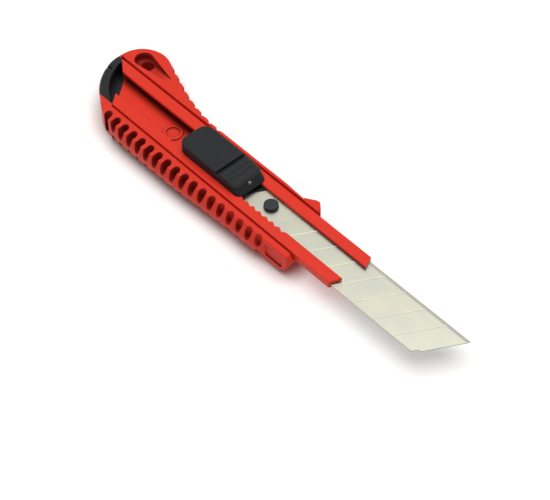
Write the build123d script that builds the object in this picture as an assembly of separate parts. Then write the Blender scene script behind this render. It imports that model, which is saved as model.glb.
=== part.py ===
from build123d import *
import os
from math import radians, sqrt, tan

# Snap-off utility knife: a moulded handle, a blade rail pressed into it and a
# click-stop slide that carries the blade.  All sizes are in millimetres.
#
# Frame: +X runs to the blade tip, +Y is the cutting-edge side with the finger
# guard and the hang hole, +Z is the thumb side.  The origin lies on the flat
# back of the handle, which rests on z = 0, on the centreline of the rail.

# ---------------------------------------------------------------- blade
BLADE_WIDTH = 18.0
BLADE_THICKNESS = 0.5
SEGMENT_LENGTH = 10.0
SCORE_COUNT = 7
HOLDING_END = 27.4           # unscored length that carries the hole
HOLE_AHEAD = 15.13           # the hole's centre, ahead of the spine's rear corner
CUT_ANGLE = 30.0             # of the ends and the scores, from square
SCORE_WIDTH = 0.4
SCORE_DEPTH = 0.14
BEVEL_WIDTH = 1.4            # ground flank along the cutting edge
EDGE_FLAT = 0.06             # thickness left at the very edge
NICK_HEIGHT = 2.3            # spine corner of the tip, lost at the last snap
NICK_LENGTH = 2.4
BLADE_HOLE_CLEARANCE = 0.1
BLADE_GAP = 0.1              # between the blade's end and the carrier

# ---------------------------------------------------------------- blade rail
HANDLE_THICKNESS = 12.0      # back face to the top of the rail lips
RAIL_WALL = 0.6              # beside the blade
LIP_COVER = 4.05             # reach of each lip over the blade
LIP_THICKNESS = 1.3
LIP_ROUND = 0.35
BLADE_HEADROOM = 0.35        # blade top to lip underside
SLIDE_CLEARANCE = 0.1        # around whatever slides in the rail
NOSE_PLATE = 0.6             # under the blade at the nose
LEDGE_WIDTH = 1.5            # under each edge of the blade, beside the trough
TROUGH_DEPTH = 2.6           # below those ledges
TROUGH_FLOOR = 1.0
TROUGH_FRONT_X = 46.0
TROUGH_RISE = 4.0            # length of the underside's slope to the nose
FLANGE_WIDTH = 0.9           # seating flange along each foot of the rail
FLANGE_HEIGHT = 1.6

TOOTH_PITCH = 3.44
TOOTH_DEPTH = 1.0
TOOTH_LEAD = 0.45            # share of the pitch ahead of each valley
LAST_VALLEY_SETBACK = 1.3    # last valley behind the front of the trough
AHEAD_CLICK_COUNT = 9
BEHIND_CLICK_COUNT = 15

NOSE_X = 75.5                # edge-side corner of the nose
NOSE_SETBACK = 2.0           # the spine-side corner sits this much further back
LIP_END_REACH = 2.0          # the lips' slot-side corners reach further forward
NOSE_APEX = 3.7              # chevron point ahead of the edge-side corner
NOSE_APEX_Y = 0.8
NOSE_APEX_RADIUS = 2.0

MARK_X = -24.5               # round mould mark in the trough floor
MARK_Y = 0.6
MARK_DIAMETER = 8.0
MARK_RIM = 1.1
MARK_HEIGHT = 0.45

# ---------------------------------------------------------------- handle shell
FRONT_X = 56.3               # spine-side corner of the handle's front end
FRONT_SKEW = 9.0             # slant of that end, in degrees
FRONT_ROUND = 1.2
SPINE_WALL = 2.7             # spine side, outside the rail's room, at the front
SPINE_SWELL = 2.7            # and how much fuller it is at the rear
SWELL_FRONT_X = 27.0
SWELL_REAR_X = -20.0
SIDE_BEND_RADIUS = 12.0
EDGE_WALL = 1.6              # edge side, outside the rail's room
BACK_ROUND = 3.2             # rounding of the rim on the back
TOP_BEVEL = 0.7              # and its bevel on top
SHOULDER_INSET = 1.9         # from the rail's room to the spine side's shoulder
SHOULDER_FALL = 20.0         # slope of that shoulder, in degrees
FRONT_BEVEL_LENGTH = 1.2     # bevel on top of the slanting front end
FRONT_BEVEL_HEIGHT = 2.0
PARTING_GAP = 1.0            # open groove beside the rail
BACK_WALL = 1.8
RAMP_LENGTH = 15.0
CAVITY_INSET = 0.7           # inside the rail's sides
CAVITY_REAR_X = -40.0
CAVITY_FRONT_X = 36.0
RIB_THICKNESS = 1.5
RIB_COUNT = 4

TAIL_X = -69.3               # the tail, with the lobe for the hang hole
LOBE_RADIUS = 12.3
LOBE_FALL = 20.0             # slope of the lobe's front, in degrees
LOBE_FOOT_X = -23.0          # where that slope would meet the straight side
LOBE_FOOT_RADIUS = 80.0
TAIL_UPPER_Y = 6.4           # corners of the slanting tail end
TAIL_UPPER_RADIUS = 15.0
TAIL_MIDDLE_X = -64.4
TAIL_MIDDLE_Y = -4.9
TAIL_MIDDLE_RADIUS = 28.0
TAIL_HEEL_X = -47.5
TAIL_HEEL_RADIUS = 20.0
TAIL_PLATE = 4.2             # shell thickness under the end cap

DIP_REAR_X = 28.0            # shallow finger dip behind the guard
DIP_DEPTH = 0.6
GUARD_REAR_X = 38.6          # finger guard
GUARD_APEX_X = 43.7
GUARD_HEIGHT = 2.6
GUARD_FRONT_X = 46.7
GUARD_TIP_RADIUS = 0.8

GRIP_PITCH = 5.1             # upright grooves round both long sides
GRIP_FIRST_X = 40.8
GRIP_WIDTH = 3.3
GRIP_COUNT = 18
GRIP_WALL = 1.7              # left between a groove and the rail's room
EDGE_GRIP_COUNT = 8
EDGE_GRIP_DEPTH = 1.2

PANEL_FRONT_X = 53.0         # shallow plain panel on the spine side
PANEL_REAR_X = 43.2
PANEL_TOP_Z = 10.1
PANEL_FOOT_Z = 4.4
PANEL_DEPTH = 0.5
PANEL_ROUND = 1.2

HANG_X = -58.8
HANG_OUT = 4.0               # outside the handle's straight edge side
HANG_RADIUS = 2.9
POCKET_X = -60.3             # tapered recesses that lead into the hang hole
POCKET_OUT = 3.6
POCKET_RADIUS = 4.0
TOP_POCKET_TIP_X = -43.5
TOP_POCKET_TIP_OUT = 3.0
TOP_POCKET_DEPTH = 3.0
BACK_POCKET_OUT = 3.2
BACK_POCKET_RADIUS = 4.3
BACK_POCKET_TIP_X = -41.5
BACK_POCKET_TIP_OUT = 0.6
BACK_POCKET_DEPTH = 4.5
POCKET_TIP_RADIUS = 1.0

PAD_FRONT_X = 33.5           # grip pad on the back, outlined by a groove
PAD_REAR_X = -47.0
PAD_SKEW = 20.0
PAD_SPINE_Y = -8.2
PAD_EDGE_FRONT_Y = 6.5
PAD_EDGE_REAR_Y = 9.0
PAD_REAR_RADIUS = 7.3
PAD_FRONT_RADIUS = 1.2
PAD_GROOVE = 0.9
PAD_GROOVE_DEPTH = 0.5

# ---------------------------------------------------------------- end cap
REAR_CUT_EDGE_X = -67.0      # rear end of the rail: two straight cuts in plan
REAR_CUT_KNEE_X = -60.5
REAR_CUT_KNEE_Y = 5.0
REAR_CUT_SPINE_X = -49.0
CAP_WALL = 3.8
CAP_FLOOR = 2.6
CAP_CLEARANCE = 0.15
TONGUE_LENGTH = 9.0
TONGUE_WIDTH = 12.0
TONGUE_THICKNESS = 1.2
SNAP_SLIT_WIDTH = 1.2
SNAP_SLIT_DEPTH = 2.6
SNAP_SLIT_Y = 2.0

# ---------------------------------------------------------------- slide
# Lengths along X are taken from the tip of the lock spring's nose.
THUMB_BEHIND = 26.3          # thumb pad, rear end
THUMB_AHEAD = 6.0            # front of its top
THUMB_LEAN = 2.8             # its foot reaches this much further forward
THUMB_HEIGHT = 4.7           # above the lips
THUMB_LIFT = 0.3             # gap between the pad and the lips
THUMB_Y = 0.5                # its centreline, towards the edge side
THUMB_OVERLAP = 2.35         # over the lips, on average
THUMB_REAR_RADIUS = 4.0
THUMB_FRONT_RADIUS = 3.0
THUMB_ROUND = 0.7
THUMB_WALL = 1.4
NOTCH_BEHIND = 3.4           # centre of the groove between rest and push end
NOTCH_WIDTH = 1.5
NOTCH_DEPTH = 1.3
PUSH_RISE = 0.25             # the push end starts above the rest
PUSH_FALL = 1.2              # and falls by this much to its front
PUSH_RIB_PITCH = 2.4         # low ribs across the push end
PUSH_RIB_COUNT = 2
PUSH_RIB_HEIGHT = 0.3
PUSH_RIB_WIDTH = 1.2

FOOT_AHEAD = 0.7             # foot of the carrier, in the trough
NECK_BEHIND = 23.2           # neck, up through the slot
NECK_AHEAD = 4.0
NECK_CLEARANCE = 0.25        # to the lips, each side
NECK_RISE = 2.6              # above the lips, into the hollow thumb pad
CARRIER_CLEARANCE = 0.5      # to the end cap, fully retracted

HOLDER_THICKNESS = 0.35      # steel plate that carries the blade
HOLDER_INSET = 1.0           # inside the blade's edges
HOLDER_BEHIND = 7.7
HOLDER_MARGIN = 6.2          # ahead of the stud's centre
HOLDER_CORNER = 3.0
STUD_AHEAD = 18.6            # round stud that the blade hooks onto
STUD_Y = 0.5
STUD_RADIUS = 2.8
STUD_HEIGHT = 1.75           # above the blade
STUD_EDGE = 0.25
STUD_SHANK_RADIUS = 1.2

SPRING_THICKNESS = 0.35      # flat lock spring, bent in plan
SPRING_HEIGHT = 1.1
SPRING_ANCHOR_BEHIND = 21.7
SPRING_ANCHOR_Y = 2.0
SPRING_BEND_BEHIND = 7.7
SPRING_BEND_Y = -2.5
SPRING_NOSE_HALF = 1.5
SPRING_SEAT = 0.35           # its bend stops short of the valley's bottom
SPRING_SHOULDER = 0.35       # its shoulders stop short of the lip's edge
SPRING_TAIL = 1.3
SPRING_ROUND = 0.35
SPRING_PLAY = 0.05
SPRING_ROOM = 2.0            # free space behind the nose

PIN_RADIUS = 0.8             # pin that fastens the thumb pad to the neck
PIN_Y = 0.4
PIN_HEIGHT = 2.2             # above the lips
PIN_LENGTH = 8.0
PIN_PROUD = 0.25
PIN_PLAY = 0.02

# ---------------------------------------------------------------- derived
Z_LIP = HANDLE_THICKNESS - LIP_THICKNESS
Z_BLADE_TOP = Z_LIP - BLADE_HEADROOM
Z_BLADE = Z_BLADE_TOP - BLADE_THICKNESS
Z_HOLDER = Z_BLADE - HOLDER_THICKNESS
Z_LEDGE = Z_HOLDER - SLIDE_CLEARANCE
Z_NOSE = Z_LEDGE - NOSE_PLATE
Z_TROUGH = Z_LEDGE - TROUGH_DEPTH
Z_RAIL = Z_TROUGH - TROUGH_FLOOR
Z_THUMB = HANDLE_THICKNESS + THUMB_HEIGHT
Z_PIN = HANDLE_THICKNESS + PIN_HEIGHT

BLADE_HALF = BLADE_WIDTH / 2
CHANNEL_HALF = BLADE_HALF + SLIDE_CLEARANCE
RAIL_HALF = CHANNEL_HALF + RAIL_WALL
SLOT_HALF = BLADE_HALF - LIP_COVER
TROUGH_HALF = BLADE_HALF - LEDGE_WIDTH
POCKET_HALF = RAIL_HALF + PARTING_GAP
THUMB_HALF = SLOT_HALF + THUMB_OVERLAP
NECK_HALF = SLOT_HALF - NECK_CLEARANCE

# The handle's sides in plan, and the hang hole beyond the edge side.
EDGE_Y = POCKET_HALF + EDGE_WALL
SIDE_Y_FRONT = -POCKET_HALF - SPINE_WALL
SIDE_Y_FULL = SIDE_Y_FRONT - SPINE_SWELL
GRIP_INNER_Y = -POCKET_HALF - GRIP_WALL
HANG_Y = EDGE_Y + HANG_OUT

# The spring's nose rests in one valley of the rack, with so many clicks ahead
# of it and so many behind.
LAST_VALLEY_X = TROUGH_FRONT_X - LAST_VALLEY_SETBACK
PAWL_X = LAST_VALLEY_X - AHEAD_CLICK_COUNT * TOOTH_PITCH
RETRACTION = BEHIND_CLICK_COUNT * TOOTH_PITCH

# The blade's hole sits on the stud, and both ends of the blade follow from it.
CUT_SLOPE = tan(radians(CUT_ANGLE))
STUD_X = PAWL_X + STUD_AHEAD
BLADE_END_X = STUD_X - HOLE_AHEAD + BLADE_WIDTH * CUT_SLOPE
BLADE_TIP_X = BLADE_END_X + SCORE_COUNT * SEGMENT_LENGTH + HOLDING_END
FAR = 300.0                  # beyond the knife, for cutting tools
OVER = 1.0                   # how far a cutter stands out past what it cuts
SAME = 0.01                  # two places nearer than this are one


# ---------------------------------------------------------------- helpers
def block(x0, x1, y0, y1, z0, z1):
    """A box between two corners."""
    centre = Pos((x0 + x1) / 2, (y0 + y1) / 2, (z0 + z1) / 2)
    return centre * Box(x1 - x0, y1 - y0, z1 - z0)


def strip(half, z0, z1):
    """A straight strip along the rail, as long as anything here."""
    return block(-FAR, FAR, -half, half, z0, z1)


def plan(points, radii=0):
    """A closed plan outline whose corners may be rounded."""
    if radii:
        return make_face(FilletPolyline(*points, radius=radii, close=True))
    return make_face(Polyline(*points, close=True))


def raised(face, z0, z1):
    """A plan face as a solid from z0 to z1."""
    return extrude(Pos(0, 0, z0) * face, amount=z1 - z0, dir=(0, 0, 1))


def across(points, y0, y1):
    """A side profile of (x, z) points as a solid from y0 to y1."""
    wire = Polyline(*[(x, y0, z) for x, z in points], close=True)
    return extrude(make_face(wire), amount=y1 - y0, dir=(0, 1, 0))


def level_edges(solid, z):
    """The edges that lie at one height."""
    return solid.edges().filter_by_position(Axis.Z, z - SAME, z + SAME)


def cut_x(x, y):
    """X of a blade cut through (x, cutting edge), at the height y."""
    return x - (BLADE_HALF - y) * CUT_SLOPE


# ---------------------------------------------------------------- outlines
def tail_corners():
    """Corners and radii from the lobe's foot round the tail to the heel."""
    lobe_y = EDGE_Y + (LOBE_FOOT_X - TAIL_X) * tan(radians(LOBE_FALL))
    return [
        (LOBE_FOOT_X, EDGE_Y, LOBE_FOOT_RADIUS),
        (TAIL_X, lobe_y, LOBE_RADIUS),
        (TAIL_X, TAIL_UPPER_Y, TAIL_UPPER_RADIUS),
        (TAIL_MIDDLE_X, TAIL_MIDDLE_Y, TAIL_MIDDLE_RADIUS),
        (TAIL_HEEL_X, SIDE_Y_FULL, TAIL_HEEL_RADIUS),
        (SWELL_REAR_X, SIDE_Y_FULL, SIDE_BEND_RADIUS),
        (SWELL_FRONT_X, SIDE_Y_FRONT, SIDE_BEND_RADIUS),
    ]


def body_outline():
    """The handle in plan, running on straight past its front end."""
    ends = [
        (FRONT_X + RAMP_LENGTH, SIDE_Y_FRONT, 0),
        (FRONT_X + RAMP_LENGTH, EDGE_Y - DIP_DEPTH, 0),
        (GUARD_REAR_X, EDGE_Y - DIP_DEPTH, SIDE_BEND_RADIUS),
        (DIP_REAR_X, EDGE_Y, SIDE_BEND_RADIUS),
    ]
    corners = tail_corners() + ends
    return plan([(x, y) for x, y, _ in corners], [radius for _, _, radius in corners])


def front_trim():
    """What is kept of the handle at its slanting front end."""
    slant = tan(radians(FRONT_SKEW)) * (RAIL_HALF - SIDE_Y_FRONT)
    points = [
        (-FAR, -FAR),
        (FRONT_X, -FAR),
        (FRONT_X, SIDE_Y_FRONT),
        (FRONT_X - slant, RAIL_HALF),
        (GUARD_FRONT_X + EDGE_Y - RAIL_HALF, RAIL_HALF),
        (GUARD_FRONT_X, EDGE_Y),
        (GUARD_FRONT_X, FAR),
        (-FAR, FAR),
    ]
    return raised(plan(points), -OVER, HANDLE_THICKNESS + OVER)


def rear_cut(shift):
    """All that lies behind the rail's rear end, moved along X by shift."""
    edge_run = (REAR_CUT_EDGE_X - REAR_CUT_KNEE_X) / (RAIL_HALF - REAR_CUT_KNEE_Y)
    spine_run = (REAR_CUT_SPINE_X - REAR_CUT_KNEE_X) / (RAIL_HALF + REAR_CUT_KNEE_Y)
    reach = 4 * RAIL_HALF
    knee_x = REAR_CUT_KNEE_X + shift
    points = [
        (-FAR, reach),
        (knee_x + edge_run * (reach - REAR_CUT_KNEE_Y), reach),
        (knee_x, REAR_CUT_KNEE_Y),
        (knee_x + spine_run * (reach + REAR_CUT_KNEE_Y), -reach),
        (-FAR, -reach),
    ]
    return raised(plan(points), -OVER, FAR)


def rail_underside(half, top):
    """The rail's room: deep below the trough, shallow below the nose."""
    points = [
        (-FAR, Z_RAIL),
        (TROUGH_FRONT_X, Z_RAIL),
        (TROUGH_FRONT_X + TROUGH_RISE, Z_NOSE),
        (FAR, Z_NOSE),
        (FAR, top),
        (-FAR, top),
    ]
    return across(points, -half, half)


def edge_side_y(x):
    """The edge side of the handle at x: straight, then rising to the lobe."""
    slope = tan(radians(LOBE_FALL))
    tangent = LOBE_FOOT_RADIUS * tan(radians(LOBE_FALL) / 2)
    start = LOBE_FOOT_X + tangent
    if x > start:
        return EDGE_Y
    if x < LOBE_FOOT_X - tangent / sqrt(1 + slope ** 2):
        return EDGE_Y + slope * (LOBE_FOOT_X - x)
    return EDGE_Y + LOBE_FOOT_RADIUS - sqrt(LOBE_FOOT_RADIUS ** 2 - (start - x) ** 2)


def spine_side_y(x):
    """The spine side of the handle at x, ahead of the heel."""
    share = (SWELL_FRONT_X - x) / (SWELL_FRONT_X - SWELL_REAR_X)
    share = min(max(share, 0), 1)
    return SIDE_Y_FRONT + share * (SIDE_Y_FULL - SIDE_Y_FRONT)


# ---------------------------------------------------------------- handle shell
def shell_blank():
    """The outer form: rounded rims, slanting front end and finger guard."""
    blank = raised(body_outline(), 0, HANDLE_THICKNESS)
    front = FRONT_X + RAMP_LENGTH
    back_rim = [edge for edge in level_edges(blank, 0) if edge.center().X < front - SAME]
    blank = fillet(back_rim, BACK_ROUND)
    top_rim = [edge for edge in level_edges(blank, HANDLE_THICKNESS)
               if edge.center().X < front - SAME]
    blank = chamfer(top_rim, TOP_BEVEL) & front_trim()
    blank -= spine_shoulder()
    corner = [edge for edge in blank.edges().filter_by(Axis.Z)
              if abs(edge.center().X - FRONT_X) < SAME]
    return fillet(corner, FRONT_ROUND) - front_bevel() + finger_guard()


def spine_shoulder():
    """Cutter for the slope along the top of the spine side."""
    crease_y = -POCKET_HALF - SHOULDER_INSET
    low = HANDLE_THICKNESS - (FAR + crease_y) * tan(radians(SHOULDER_FALL))
    points = [(crease_y, HANDLE_THICKNESS), (-FAR, low), (-FAR, FAR), (crease_y, FAR)]
    wire = Polyline(*[(-FAR, y, z) for y, z in points], close=True)
    return extrude(make_face(wire), amount=2 * FAR, dir=(1, 0, 0))


def front_bevel():
    """Cutter for the bevel along the top of the slanting front end."""
    top = HANDLE_THICKNESS
    profile = [
        (-FRONT_BEVEL_LENGTH, top),
        (0, top - FRONT_BEVEL_HEIGHT),
        (FAR, top - FRONT_BEVEL_HEIGHT),
        (FAR, top + OVER),
        (-FRONT_BEVEL_LENGTH, top + OVER),
    ]
    return Pos(FRONT_X, SIDE_Y_FRONT) * Rot(0, 0, FRONT_SKEW) * across(profile, -FAR, FAR)


def spine_panel():
    """Cutter for the shallow panel on the spine side's front end."""
    panel = block(PANEL_REAR_X, PANEL_FRONT_X, -FAR, SIDE_Y_FRONT + PANEL_DEPTH,
                  PANEL_FOOT_Z, PANEL_TOP_Z)
    return fillet(panel.edges().filter_by(Axis.Y), PANEL_ROUND)


def finger_guard():
    """The pointed stop that keeps the finger off the nose."""
    apex_y = EDGE_Y + GUARD_HEIGHT
    root_y = EDGE_Y - BACK_ROUND
    points = [
        (GUARD_REAR_X, root_y),
        (GUARD_REAR_X, EDGE_Y - DIP_DEPTH),
        (GUARD_APEX_X, apex_y),
        (GUARD_FRONT_X, EDGE_Y),
        (GUARD_FRONT_X, root_y),
    ]
    guard = raised(plan(points, [0, 0, GUARD_TIP_RADIUS, 0, 0]), 0, HANDLE_THICKNESS)
    section = block(-FAR, FAR, 0, apex_y, 0, HANDLE_THICKNESS)
    outer = section.edges().filter_by(Axis.X).group_by(Axis.Y)[-1].sort_by(Axis.Z)
    section = fillet(outer[0], BACK_ROUND)
    outer = section.edges().filter_by(Axis.X).sort_by(Axis.Z)[-2:].sort_by(Axis.Y)
    return guard & chamfer(outer[-1], TOP_BEVEL)


def nose_fairing():
    """Cutter for the quarter ellipse that thins the back below the nose."""
    start = FRONT_X - RAMP_LENGTH
    kept = extrude(Ellipse(RAMP_LENGTH, Z_NOSE), amount=FAR, both=True)
    cutter = block(start, FAR, -FAR, FAR, -OVER, Z_NOSE)
    cutter -= Pos(start, 0, Z_NOSE) * Rot(90, 0, 0) * kept
    turned = Rot(0, 0, FRONT_SKEW) * Pos(-FRONT_X, -SIDE_Y_FRONT, 0) * cutter
    return Pos(FRONT_X, SIDE_Y_FRONT, 0) * turned


def cavity():
    """Hollow behind the rail, crossed by ribs that carry it."""
    half = RAIL_HALF - CAVITY_INSET
    hollow = block(CAVITY_REAR_X, CAVITY_FRONT_X, -half, half, BACK_WALL, Z_RAIL + OVER)
    spacing = (CAVITY_FRONT_X - CAVITY_REAR_X) / (RIB_COUNT + 1)
    for index in range(RIB_COUNT):
        x = CAVITY_REAR_X + (index + 1) * spacing
        hollow -= block(x - RIB_THICKNESS / 2, x + RIB_THICKNESS / 2, -FAR, FAR, 0, FAR)
    return hollow


def grip_groove(x, outer_y, inner_y):
    """Cutter for one upright groove with a round floor."""
    out = 1 if outer_y > 0 else -1
    half = GRIP_WIDTH / 2
    floor_y = inner_y + out * half
    beyond_y = outer_y + out * BACK_ROUND
    sides = [(x - half, floor_y), (x - half, beyond_y), (x + half, beyond_y), (x + half, floor_y)]
    return raised(plan(sides) + Pos(x, floor_y) * Circle(half), -OVER, HANDLE_THICKNESS + OVER)


def grip_grooves():
    """All grooves: the whole spine side, and the rear of the edge side."""
    cutters = []
    for index in range(GRIP_COUNT):
        x = GRIP_FIRST_X - index * GRIP_PITCH
        cutters.append(grip_groove(x, spine_side_y(x), GRIP_INNER_Y))
    for index in range(GRIP_COUNT - EDGE_GRIP_COUNT, GRIP_COUNT):
        x = GRIP_FIRST_X - index * GRIP_PITCH
        outer_y = edge_side_y(x)
        cutters.append(grip_groove(x, outer_y, outer_y - EDGE_GRIP_DEPTH))
    return cutters


def hang_recess(centre, radius, tip, z0, z1):
    """A recess round the hang hole that tapers forward to a blunt tip."""
    around = Pos(*centre) * Circle(radius)
    point = Pos(*tip) * Circle(POCKET_TIP_RADIUS)
    return raised(make_hull([*around.edges(), *point.edges()]), z0, z1)


def hang_hole():
    """The hang hole, a ramped recess on top and a deep one on the back."""
    floor = HANDLE_THICKNESS - TOP_POCKET_DEPTH
    top = hang_recess((POCKET_X, EDGE_Y + POCKET_OUT), POCKET_RADIUS,
                      (TOP_POCKET_TIP_X, EDGE_Y + TOP_POCKET_TIP_OUT), floor,
                      HANDLE_THICKNESS + OVER)
    ramp = [
        (HANG_X + HANG_RADIUS, floor),
        (TOP_POCKET_TIP_X, HANDLE_THICKNESS),
        (FAR, HANDLE_THICKNESS),
        (FAR, floor - OVER),
        (HANG_X + HANG_RADIUS, floor - OVER),
    ]
    top -= across(ramp, 0, FAR)
    back = hang_recess((POCKET_X, EDGE_Y + BACK_POCKET_OUT), BACK_POCKET_RADIUS,
                       (BACK_POCKET_TIP_X, EDGE_Y + BACK_POCKET_TIP_OUT), -OVER,
                       BACK_POCKET_DEPTH)
    hole = raised(Pos(HANG_X, HANG_Y) * Circle(HANG_RADIUS), -OVER, HANDLE_THICKNESS + OVER)
    return [top, back, hole]


def pad_groove():
    """Cutter for the groove that outlines the grip pad on the back."""
    skew = tan(radians(PAD_SKEW)) * (PAD_EDGE_FRONT_Y - PAD_SPINE_Y)
    points = [
        (PAD_REAR_X, PAD_SPINE_Y),
        (PAD_FRONT_X + skew, PAD_SPINE_Y),
        (PAD_FRONT_X, PAD_EDGE_FRONT_Y),
        (PAD_REAR_X, PAD_EDGE_REAR_Y),
    ]
    radii = [PAD_REAR_RADIUS, PAD_FRONT_RADIUS, PAD_FRONT_RADIUS, PAD_REAR_RADIUS]
    outline = plan(points, radii)
    return raised(outline - offset(outline, amount=-PAD_GROOVE), -OVER, PAD_GROOVE_DEPTH)


def handle_shell():
    """The moulded handle that the rail and the end cap sit in."""
    shell = shell_blank()
    shell -= rail_underside(POCKET_HALF, FAR) - rear_cut(0)
    shell -= strip(RAIL_HALF, TAIL_PLATE, FAR) & rear_cut(0)
    tongue_room = strip(TONGUE_WIDTH / 2 + CAP_CLEARANCE, TAIL_PLATE, Z_RAIL + OVER)
    shell -= tongue_room & rear_cut(TONGUE_LENGTH + CAP_CLEARANCE)
    shell -= cavity()
    shell -= nose_fairing()
    shell -= spine_panel()
    for cutter in grip_grooves() + hang_hole():
        shell -= cutter
    return shell - pad_groove()


# ---------------------------------------------------------------- blade rail
def nose_plans():
    """Plan outlines of the nose: the lips above, the pointed plate below."""
    spine_x = NOSE_X - NOSE_SETBACK
    lips = [
        (-FAR, -POCKET_HALF),
        (spine_x, -POCKET_HALF),
        (spine_x, -RAIL_HALF),
        (spine_x + LIP_END_REACH, -SLOT_HALF),
        (NOSE_X + LIP_END_REACH, SLOT_HALF),
        (NOSE_X, RAIL_HALF),
        (NOSE_X, POCKET_HALF),
        (-FAR, POCKET_HALF),
    ]
    plate = [
        (-FAR, -POCKET_HALF),
        (spine_x, -POCKET_HALF),
        (spine_x, -RAIL_HALF),
        (NOSE_X + NOSE_APEX, NOSE_APEX_Y),
        (NOSE_X, RAIL_HALF),
        (NOSE_X, POCKET_HALF),
        (-FAR, POCKET_HALF),
    ]
    radii = [0, 0, 0, NOSE_APEX_RADIUS, 0, 0, 0]
    return plan(lips), plan(plate, radii)


def rack_cutter():
    """The row of teeth that the lock spring clicks along."""
    ahead = TOOTH_LEAD * TOOTH_PITCH
    rear_x = PAWL_X - RETRACTION + ahead - TOOTH_PITCH
    points = [(rear_x, 0), (rear_x, -SLOT_HALF)]
    for click in range(-BEHIND_CLICK_COUNT, AHEAD_CLICK_COUNT + 1):
        valley = PAWL_X + click * TOOTH_PITCH
        points.append((valley, -SLOT_HALF - TOOTH_DEPTH))
        points.append((valley + ahead, -SLOT_HALF))
    points.append((valley + ahead, 0))
    return raised(plan(points), Z_BLADE_TOP, HANDLE_THICKNESS + OVER)


def mould_mark():
    """A raised ring on the trough floor."""
    ring = Circle(MARK_DIAMETER / 2) - Circle(MARK_DIAMETER / 2 - MARK_RIM)
    return raised(Pos(MARK_X, MARK_Y) * ring, Z_TROUGH, Z_TROUGH + MARK_HEIGHT)


def blade_rail():
    """The insert with lips, blade channel, slide trough and tooth rack."""
    lip_plan, plate_plan = nose_plans()
    rail = rail_underside(RAIL_HALF, HANDLE_THICKNESS)
    rail &= raised(plate_plan, Z_RAIL, Z_LEDGE) + raised(lip_plan, Z_LEDGE, HANDLE_THICKNESS)
    rail -= strip(SLOT_HALF, Z_LEDGE, FAR)
    lip_edges = level_edges(rail, HANDLE_THICKNESS).filter_by(Axis.X).sort_by(Axis.Y)
    untoothed = [lip_edges[0], *lip_edges[2:]]
    rail = fillet(untoothed, LIP_ROUND)
    rail -= strip(CHANNEL_HALF, Z_LEDGE, Z_LIP)
    rail -= block(-FAR, TROUGH_FRONT_X, -TROUGH_HALF, TROUGH_HALF, Z_TROUGH, Z_LIP)
    flange_half = RAIL_HALF + FLANGE_WIDTH
    flange = strip(flange_half, Z_RAIL, Z_RAIL + FLANGE_HEIGHT) - strip(TROUGH_HALF, 0, FAR)
    rail += flange & block(-FAR, TROUGH_FRONT_X, -FAR, FAR, 0, FAR)
    rail -= rack_cutter()
    rail -= rear_cut(0)
    return rail + mould_mark()


# ---------------------------------------------------------------- end cap
def cap_inside():
    """The space in front of the cap's rear wall."""
    return offset(body_outline(), amount=-CAP_WALL)


def end_cap():
    """The pull-off cap: rear wall, floor, tongue and snapping slit."""
    floor = TAIL_PLATE + CAP_CLEARANCE
    cap = shell_blank() & strip(RAIL_HALF - CAP_CLEARANCE, floor, HANDLE_THICKNESS)
    cap &= rear_cut(-CAP_CLEARANCE)
    cap -= raised(cap_inside(), TAIL_PLATE + CAP_FLOOR, FAR)
    tongue = strip(TONGUE_WIDTH / 2, floor, floor + TONGUE_THICKNESS)
    tongue &= rear_cut(TONGUE_LENGTH - CAP_CLEARANCE) - rear_cut(-CAP_CLEARANCE)
    cap += tongue
    return cap - snap_slit()


def snap_slit():
    """Slit in the cap's wall, square to it, in which a segment is snapped."""
    run = Vector(TAIL_MIDDLE_X - TAIL_X, TAIL_MIDDLE_Y - TAIL_UPPER_Y)
    share = (TAIL_UPPER_Y - SNAP_SLIT_Y) / (TAIL_UPPER_Y - TAIL_MIDDLE_Y)
    mouth = Vector(TAIL_X, TAIL_UPPER_Y) + run * share
    turn = Vector(0, -1).get_signed_angle(run, Vector(0, 0, 1))
    cutter = Box(2 * SNAP_SLIT_DEPTH, SNAP_SLIT_WIDTH, 4 * HANDLE_THICKNESS)
    return Pos(mouth.X, mouth.Y) * Rot(0, 0, turn) * cutter


# ---------------------------------------------------------------- slide
def thumb_rest():
    """The flat rear of the thumb pad."""
    rear = PAWL_X - THUMB_BEHIND
    front = PAWL_X - NOTCH_BEHIND - NOTCH_WIDTH / 2
    points = [(rear, -THUMB_HALF), (front, -THUMB_HALF), (front, THUMB_HALF), (rear, THUMB_HALF)]
    outline = plan(points, [THUMB_REAR_RADIUS, 0, 0, THUMB_REAR_RADIUS])
    rest = raised(outline, HANDLE_THICKNESS + THUMB_LIFT, Z_THUMB)
    return fillet(level_edges(rest, Z_THUMB), THUMB_ROUND)


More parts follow.
